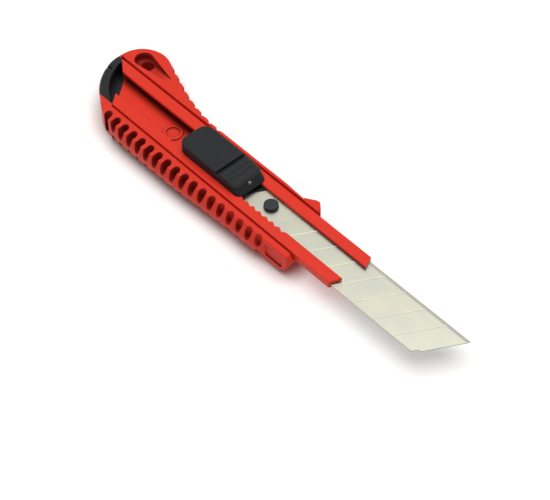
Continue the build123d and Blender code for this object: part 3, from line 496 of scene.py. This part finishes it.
def ridge(tree, length, width, height):
    """A flattened crescent that points along X, of the given sizes in metres."""
    half = add_node(tree, "ShaderNodeMath", {0: length, 1: 0.5}, operation="MULTIPLY")
    minus_half = add_node(tree, "ShaderNodeMath", {0: half.outputs[0], 1: -1.0},
                          operation="MULTIPLY")
    start = add_node(tree, "ShaderNodeCombineXYZ", {"X": minus_half.outputs[0]})
    middle = add_node(tree, "ShaderNodeCombineXYZ", {"Y": width})
    end = add_node(tree, "ShaderNodeCombineXYZ", {"X": half.outputs[0]})
    line = add_node(tree, "GeometryNodeCurveQuadraticBezier", {
        "Resolution": 6, "Start": start.outputs[0], "Middle": middle.outputs[0],
        "End": end.outputs[0]})
    way = add_node(tree, "GeometryNodeSplineParameter")
    turn = add_node(tree, "ShaderNodeMath", {0: way.outputs["Factor"], 1: pi},
                    operation="MULTIPLY")
    rise = add_node(tree, "ShaderNodeMath", {0: turn.outputs[0]}, operation="SINE")
    taper = add_node(tree, "ShaderNodeMath", {0: rise.outputs[0], 1: THINNEST},
                     operation="MAXIMUM")
    tapered = add_node(tree, "GeometryNodeSetCurveRadius", {
        "Curve": line.outputs["Curve"], "Radius": taper.outputs[0]})
    ring = add_node(tree, "GeometryNodeCurvePrimitiveCircle", {
        "Resolution": 8, "Radius": width})
    body = add_node(tree, "GeometryNodeCurveToMesh", {
        "Curve": tapered.outputs["Curve"], "Profile Curve": ring.outputs["Curve"],
        "Fill Caps": True})
    flatness = add_node(tree, "ShaderNodeMath", {0: height, 1: width},
                        operation="DIVIDE")
    squash = add_node(tree, "ShaderNodeCombineXYZ", {
        "X": 1.0, "Y": 1.0, "Z": flatness.outputs[0]})
    flat = add_node(tree, "GeometryNodeTransform", {
        "Geometry": body.outputs["Mesh"], "Scale": squash.outputs[0]})
    return flat.outputs["Geometry"]


print("a ridge is a tapered sweep")

# %% [markdown]
# ## The weave
#
# A grid of points covers the pad.  Odd rows shift by half a pitch, as bricks do, and
# lean the other way.  A ray is dropped from each point onto the filled outline, and
# points that miss it are deleted, so the weave keeps the pad's rounded ends without
# any list of positions.  White noise with a fixed seed varies the lean and the
# size a little, as hand-cut mould work does.
#
# The grid's own length and width don't matter, because each point is set anew from
# its column and row.

# %% Weave tree
WEAVE_SIZES = ["Pitch along", "Pitch across", "Ridge length", "Ridge width",
               "Ridge height", "Lean", "Seed"]
COLUMNS = 41
ROWS = 15
GRID_LENGTH = 100
GRID_WIDTH = 30
DROP_HEIGHT = 1.0
LEAN_SPREAD = 0.35
SIZE_SPREAD = 0.3


def filled_outline(tree, loop):
    """The loop of corners with its corners rounded, as a curve."""
    curve = add_node(tree, "GeometryNodeMeshToCurve", {"Mesh": loop})
    radius = add_node(tree, "GeometryNodeInputNamedAttribute", {"Name": "radius_m"},
                      data_type="FLOAT")
    return add_node(tree, "GeometryNodeFilletCurve", {
        "Curve": curve.outputs["Curve"], "Radius": radius.outputs["Attribute"],
        "Count": 12, "Limit Radius": True}, mode="POLY").outputs["Curve"]


def weave_tree():
    """Ridges in staggered, alternately leaning rows inside the rounded outline."""
    tree, given = start_tree("pad_weave", WEAVE_SIZES)
    grid = add_node(tree, "GeometryNodeMeshGrid", {
        "Size X": GRID_LENGTH * MM, "Size Y": GRID_WIDTH * MM,
        "Vertices X": COLUMNS, "Vertices Y": ROWS})
    index = add_node(tree, "GeometryNodeInputIndex")
    share = add_node(tree, "ShaderNodeMath", {0: index.outputs[0], 1: ROWS},
                     operation="DIVIDE")
    column = add_node(tree, "ShaderNodeMath", {0: share.outputs[0]}, operation="FLOOR")
    row = add_node(tree, "ShaderNodeMath", {0: index.outputs[0], 1: ROWS},
                   operation="MODULO")
    odd = add_node(tree, "ShaderNodeMath", {0: row.outputs[0], 1: 2.0},
                   operation="MODULO")
    shifted = add_node(tree, "ShaderNodeMath", {
        0: odd.outputs[0], 1: 0.5, 2: column.outputs[0]}, operation="MULTIPLY_ADD")
    step = add_node(tree, "ShaderNodeMath", {0: shifted.outputs[0], 1: COLUMNS // 2},
                    operation="SUBTRACT")
    lane = add_node(tree, "ShaderNodeMath", {0: row.outputs[0], 1: ROWS // 2},
                    operation="SUBTRACT")
    along = add_node(tree, "ShaderNodeMath", {
        0: step.outputs[0], 1: given["Pitch along"]}, operation="MULTIPLY")
    across = add_node(tree, "ShaderNodeMath", {
        0: lane.outputs[0], 1: given["Pitch across"]}, operation="MULTIPLY")
    spot = add_node(tree, "ShaderNodeCombineXYZ", {
        "X": along.outputs[0], "Y": across.outputs[0]})
    placed = add_node(tree, "GeometryNodeSetPosition", {
        "Geometry": grid.outputs["Mesh"], "Position": spot.outputs[0]})
    outline = filled_outline(tree, given["Geometry"])
    face = add_node(tree, "GeometryNodeFillCurve", {"Curve": outline}, mode="NGONS")
    where = add_node(tree, "GeometryNodeInputPosition")
    above = add_node(tree, "ShaderNodeVectorMath", {
        0: where.outputs[0], 1: (0, 0, DROP_HEIGHT * MM)}, operation="ADD")
    drop = add_node(tree, "GeometryNodeRaycast", {
        "Target Geometry": face.outputs["Mesh"], "Source Position": above.outputs[0],
        "Ray Direction": (0, 0, -1), "Ray Length": 2 * DROP_HEIGHT * MM})
    missed = add_node(tree, "FunctionNodeBooleanMath", {0: drop.outputs["Is Hit"]},
                      operation="NOT")
    inside = add_node(tree, "GeometryNodeDeleteGeometry", {
        "Geometry": placed.outputs["Geometry"], "Selection": missed.outputs[0]},
        domain="POINT")
    chance = add_node(tree, "ShaderNodeTexWhiteNoise", {
        "Vector": where.outputs[0], "W": given["Seed"]}, noise_dimensions="4D")
    centred = add_node(tree, "ShaderNodeMath", {
        0: chance.outputs["Value"], 1: 0.5}, operation="SUBTRACT")
    lane_y = add_node(tree, "ShaderNodeSeparateXYZ", {0: where.outputs[0]})
    rows = add_node(tree, "ShaderNodeMath", {
        0: lane_y.outputs["Y"], 1: given["Pitch across"]}, operation="DIVIDE")
    parity = add_node(tree, "ShaderNodeMath", {0: rows.outputs[0], 1: 1.0},
                      operation="PINGPONG")
    side = add_node(tree, "ShaderNodeMath", {
        0: parity.outputs[0], 1: 2.0, 2: -1.0}, operation="MULTIPLY_ADD")
    lean = add_node(tree, "ShaderNodeMath", {0: side.outputs[0], 1: given["Lean"]},
                    operation="MULTIPLY")
    angle = add_node(tree, "ShaderNodeMath", {
        0: centred.outputs[0], 1: LEAN_SPREAD, 2: lean.outputs[0]},
        operation="MULTIPLY_ADD")
    size = add_node(tree, "ShaderNodeMath", {
        0: centred.outputs[0], 1: SIZE_SPREAD, 2: 1.0}, operation="MULTIPLY_ADD")
    spin = add_node(tree, "ShaderNodeCombineXYZ", {"Z": angle.outputs[0]})
    ridges = add_node(tree, "GeometryNodeInstanceOnPoints", {
        "Points": inside.outputs["Geometry"],
        "Instance": ridge(tree, given["Ridge length"], given["Ridge width"],
                          given["Ridge height"]),
        "Rotation": spin.outputs[0], "Scale": size.outputs[0]})
    end_tree(tree, given, ridges.outputs["Instances"])
    return tree


WEAVE_INSET = 2.6
weave_loop = corner_mesh("pad_weave_loop", inset_corners(PAD_CORNERS, WEAVE_INSET))
weave = grow("pad_weave", weave_loop, weave_tree(), {
    "Pitch along": 2.9 * MM, "Pitch across": 1.75 * MM, "Ridge length": 2.5 * MM,
    "Ridge width": 0.5 * MM, "Ridge height": 0.17 * MM, "Lean": radians(38),
    "Seed": 7.0, "Finish": handle_abs})
print("weave:", len(weave.data.polygons), "faces")

# %% [markdown]
# ## The stitches
#
# The line of stitches follows the outline at an even spacing, so this tree rounds the
# same corners, cuts the curve into points a stitch apart and turns each stitch along
# the curve's tangent.

# %% Stitch tree
STITCH_SIZES = ["Spacing", "Stitch length", "Stitch width", "Stitch height"]


def stitch_tree():
    """Small ridges in a line round the outline, each along its tangent."""
    tree, given = start_tree("pad_stitches", STITCH_SIZES)
    outline = filled_outline(tree, given["Geometry"])
    points = add_node(tree, "GeometryNodeCurveToPoints", {
        "Curve": outline, "Length": given["Spacing"]}, mode="LENGTH")
    turned = add_node(tree, "FunctionNodeAlignRotationToVector", {
        "Vector": points.outputs["Tangent"]}, axis="X", pivot_axis="Z")
    placed = add_node(tree, "GeometryNodeInstanceOnPoints", {
        "Points": points.outputs["Points"],
        "Instance": ridge(tree, given["Stitch length"], given["Stitch width"],
                          given["Stitch height"]),
        "Rotation": turned.outputs[0]})
    end_tree(tree, given, placed.outputs["Instances"])
    return tree


STITCH_MARGIN = 0.8
stitch_loop = corner_mesh("pad_stitch_loop",
                          inset_corners(PAD_CORNERS, PAD_GROOVE + STITCH_MARGIN))
stitches = grow("pad_stitches", stitch_loop, stitch_tree(), {
    "Spacing": 3.1 * MM, "Stitch length": 1.5 * MM, "Stitch width": 0.3 * MM,
    "Stitch height": 0.15 * MM, "Finish": handle_abs})
print("stitches:", len(stitches.data.polygons), "faces")

# %% [markdown]
# ## The swell of the grip
#
# The finger grooves of the spine side don't run through from face to face on the real
# handle.  They are scoops, cut from both faces, that leave a thin web at mid-height,
# and the ribs between them swell outwards to that web, so the side feels rounded in
# the hand.  The solid has upright ribs, so this piece adds the swell and the web over
# them, and the solid itself stays as it is.  The grooves' pitch and first place and
# the line of the side are the solid's own sizes.
#
# Its section is the same rule everywhere: an outer curve that is furthest out at
# mid-height, cut off above and below.  On a rib it is cut near the two faces, and in
# a groove along half an ellipse.  Copies of one rib would leave a seam in the web at
# every joint, so one loft carries the section along the whole side, station by
# station.  The rearmost groove, beside the cap, is too near the rounded heel to carry
# the swell and stays as the solid has it.

# %% Sizes of the swell
GRIP_PITCH = 5.1
GRIP_FIRST_X = 40.8
GRIP_LAST = 16
GRIP_HALF = 1.65
SIDE_FRONT_Y = -13.4
SIDE_REAR_Y = -16.1
SWELL_FRONT_X = 27.0
SWELL_REAR_X = -20.0
MIDDLE_Z = 6.0
RIB_TOP_Z = 11.4
RIB_FOOT_Z = 1.2
WEB_HALF = 0.8
INSIDE_Y = -12.1
MOST_OUT_Y = -17.2
MOST_SWELL = 2.0
FADE_LENGTH = 9.0
TOP_TUCK = 0.1
FOOT_TUCK = 0.75
END_LENGTH = 0.9


def side_y(x):
    """The spine side of the solid handle."""
    share = (SWELL_FRONT_X - x) / (SWELL_FRONT_X - SWELL_REAR_X)
    return SIDE_FRONT_Y + min(max(share, 0), 1) * (SIDE_REAR_Y - SIDE_FRONT_Y)


def swell(x):
    """How far the ribs stand out of the side at mid-height; it fades at both ends."""
    front = (GRIP_FIRST_X + 2 * GRIP_HALF - x) / FADE_LENGTH
    rear = (x - (GRIP_FIRST_X - (GRIP_LAST + 0.5) * GRIP_PITCH)) / FADE_LENGTH
    fade = min(max(min(front, rear), 0), 1)
    return min(MOST_SWELL, side_y(x) - MOST_OUT_Y) * fade * (2 - fade)


def outer_y(x, z):
    """The outer curve of a section: furthest out at mid-height."""
    out = swell(x)
    if z > MIDDLE_Z:
        away = (z - MIDDLE_Z) / (RIB_TOP_Z - MIDDLE_Z)
        return side_y(x) - out + (out + TOP_TUCK) * away ** 2
    away = (MIDDLE_Z - z) / (MIDDLE_Z - RIB_FOOT_Z)
    return side_y(x) - out + (out + FOOT_TUCK) * away ** 2


def section(x, scoop, steps=14):
    """The section at x: scoop is 1 on a rib and 0 at the middle of a groove."""
    web_top, web_foot = MIDDLE_Z + WEB_HALF, MIDDLE_Z - WEB_HALF
    top = web_top + (RIB_TOP_Z - web_top) * scoop
    foot = web_foot + (RIB_FOOT_Z - web_foot) * scoop
    heights = [top + (foot - top) * step / steps for step in range(steps + 1)]
    outer = [(x, outer_y(x, z), z) for z in heights]
    return [(x, INSIDE_Y, top)] + outer + [(x, INSIDE_Y, foot)]


print("the swell stands out", round(swell(0), 2), "mm at the middle of the handle")

# %% Loft the sections
MERGE_MM = 0.001
SHARP_DEGREES = 40


def grip_stations(turns=12):
    """Places along the side with their scoop, from the front rib to the rear one."""
    places = [(GRIP_FIRST_X + 2 * GRIP_HALF, 1.0)]
    for index in range(GRIP_LAST + 1):
        centre = GRIP_FIRST_X - index * GRIP_PITCH
        for turn in range(turns + 1):
            angle = radians(90 - 180 * turn / turns)
            places.append((centre + GRIP_HALF * sin(angle), 1 - cos(angle)))
    places.append((places[-1][0] - END_LENGTH, 1.0))
    return places


def loft(name, sections):
    """Joins equal sections into one closed mesh with smooth sides and sharp rims."""
    count = len(sections[0])
    points = [(x * MM, y * MM, z * MM) for ring in sections for x, y, z in ring]
    faces = [list(range(count))[::-1],
             [count * (len(sections) - 1) + spot for spot in range(count)]]
    for ring in range(len(sections) - 1):
        for spot in range(count):
            here, on = ring * count + spot, ring * count + (spot + 1) % count
            faces.append((here, on, on + count, here + count))
    mesh = bpy.data.meshes.new(name)
    mesh.from_pydata(points, [], faces)
    shape = bmesh.new()
    shape.from_mesh(mesh)
    bmesh.ops.remove_doubles(shape, verts=shape.verts, dist=MERGE_MM * MM)
    bmesh.ops.recalc_face_normals(shape, faces=shape.faces)
    shape.to_mesh(mesh)
    shape.free()
    mesh.polygons.foreach_set("use_smooth", [True] * len(mesh.polygons))
    mesh.set_sharp_from_angle(angle=radians(SHARP_DEGREES))
    piece = bpy.data.objects.new(name, mesh)
    bpy.context.scene.collection.objects.link(piece)
    return piece


grip = loft("spine_grip", [section(x, scoop) for x, scoop in grip_stations()])
grip.data.materials.append(handle_abs)
print("swell:", len(grip.data.polygons), "faces")

# %% [markdown]
# ## What belongs to the handle
#
# The pad's texture and the swell are moulded in one with the handle, so they ride on
# its body and share the slot of its plastic.

# %% All three ride on the handle
for piece in (weave, stitches, grip):
    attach(piece, "handle")
print("the pad's pieces and the swell ride on the handle")

# %% [markdown]
# ## Floor and light
#
# The knife lies on a plain white sheet under soft studio light.  One large soft box
# hangs straight above it, so the raised blade drops a soft shadow right under itself,
# and the white room fills in from the sides.  The two are kept at a plain level, where
# a colour renders about as it is written.  The sheet shows white because the camera's
# rays get a little light of the sheet's own added to what falls on it, which leaves
# the light on the knife alone.  That added light fades where the knife shuts the sheet
# in, within 8 mm, which paints a deeper contact shadow where the handle touches down.

# %% Floor
FLOOR_HALF_M = 3.0
FLOOR_DROP = 0.2
SHADE_REACH = 8
PAPER_GLOW = 0.36


def seen(tree):
    """1 for rays from the camera, in a mirror or through glass, and 0 for others."""
    rays = add_node(tree, "ShaderNodeLightPath")
    shown = add_node(tree, "ShaderNodeMath", {
        0: rays.outputs["Is Camera Ray"], 1: rays.outputs["Is Glossy Ray"]},
        operation="MAXIMUM")
    return add_node(tree, "ShaderNodeMath", {
        0: shown.outputs[0], 1: rays.outputs["Is Transmission Ray"]},
        operation="MAXIMUM").outputs[0]


def white_sheet(half_m, drop_mm):
    """A level sheet just under the knife."""
    shape = bmesh.new()
    corners = [(-half_m, -half_m), (half_m, -half_m),
               (half_m, half_m), (-half_m, half_m)]
    shape.faces.new([shape.verts.new((x, y, -drop_mm * MM)) for x, y in corners])
    mesh = bpy.data.meshes.new("floor")
    shape.to_mesh(mesh)
    shape.free()
    sheet = bpy.data.objects.new("floor", mesh)
    bpy.context.scene.collection.objects.link(sheet)
    return sheet


def paper():
    """White paper glowing for the camera, dimmed near the knife as a painted shadow."""
    material = bpy.data.materials.new("white_paper")
    material.use_nodes = True
    tree = material.node_tree
    shader = tree.nodes["Principled BSDF"]
    shader.inputs["Base Color"].default_value = linear("#EFEEEC")
    shader.inputs["Roughness"].default_value = 0.9
    shader.inputs["Emission Color"].default_value = (1, 1, 1, 1)
    # Painted shadow: the sheet's own light is taken away where the knife shuts it in.
    near = add_node(tree, "ShaderNodeAmbientOcclusion", {
        "Distance": SHADE_REACH * MM}, samples=16)
    glow_with_painted_shadow = add_node(tree, "ShaderNodeMapRange", {
        "Value": near.outputs["AO"], "From Min": 0.45, "From Max": 1.0,
        "To Min": 0.0, "To Max": PAPER_GLOW})
    glow = add_node(tree, "ShaderNodeMath", {
        0: seen(tree), 1: glow_with_painted_shadow.outputs["Result"]}, operation="MULTIPLY")
    tree.links.new(glow.outputs[0], shader.inputs["Emission Strength"])
    return material


floor = white_sheet(FLOOR_HALF_M, FLOOR_DROP)
floor.data.materials.append(paper())
print("floor lies", FLOOR_DROP, "mm under the back, level with the embossing")

# %% Room and lamp
ROOM_LEVEL = 0.16
LAMP_PLACE = (0.0, 0.02, 1.15)
LAMP_AIM = (0.03, 0.0, 0.0)
LAMP_SIZE = 1.3
LAMP_WATTS = 12.6


def white_room(level):
    """A world that lights at the given level and shows white to eye and gloss."""
    world = bpy.data.worlds.new("white_room")
    bpy.context.scene.world = world
    world.use_nodes = True
    tree = world.node_tree
    strength = add_node(tree, "ShaderNodeMapRange", {
        "Value": seen(tree), "From Min": 0.0, "From Max": 1.0,
        "To Min": level, "To Max": 1.0})
    background = tree.nodes["Background"]
    background.inputs["Color"].default_value = (1, 1, 1, 1)
    tree.links.new(strength.outputs["Result"], background.inputs["Strength"])


def soft_lamp(name, place, aim, size, watts):
    """A square soft box at a place, turned to its aim, in metres."""
    lamp = bpy.data.lights.new(name, "AREA")
    lamp.size = size
    lamp.energy = watts
    stand = bpy.data.objects.new(name, lamp)
    stand.location = place
    gaze = Vector(aim) - Vector(place)
    stand.rotation_euler = gaze.to_track_quat("-Z", "Y").to_euler()
    bpy.context.scene.collection.objects.link(stand)


white_room(ROOM_LEVEL)
soft_lamp("key", LAMP_PLACE, LAMP_AIM, LAMP_SIZE, LAMP_WATTS)
print("one room and one soft box")

# %% [markdown]
# ## Camera
#
# The picture is taken from the front left at about fifty degrees above the sheet,
# with a long lens, so the knife runs from the upper left to the lower right.

# %% Camera
EYE = (299.29, -244.84, 420.74)
AIM = (42.33, -6.79, 0.0)
LENS = 96.2
SENSOR = 36.0
NEAREST_M = 0.01

lens = bpy.data.cameras.new("camera")
lens.lens = LENS
lens.sensor_width = SENSOR
lens.clip_start = NEAREST_M
camera = bpy.data.objects.new("camera", lens)
camera.location = Vector(EYE) * MM
view_line = Vector(AIM) - Vector(EYE)
camera.rotation_euler = view_line.to_track_quat("-Z", "Y").to_euler()
bpy.context.scene.collection.objects.link(camera)
bpy.context.scene.camera = camera
bpy.context.scene.view_settings.view_transform = "Standard"
print("the camera stands", round(view_line.length), "mm away")
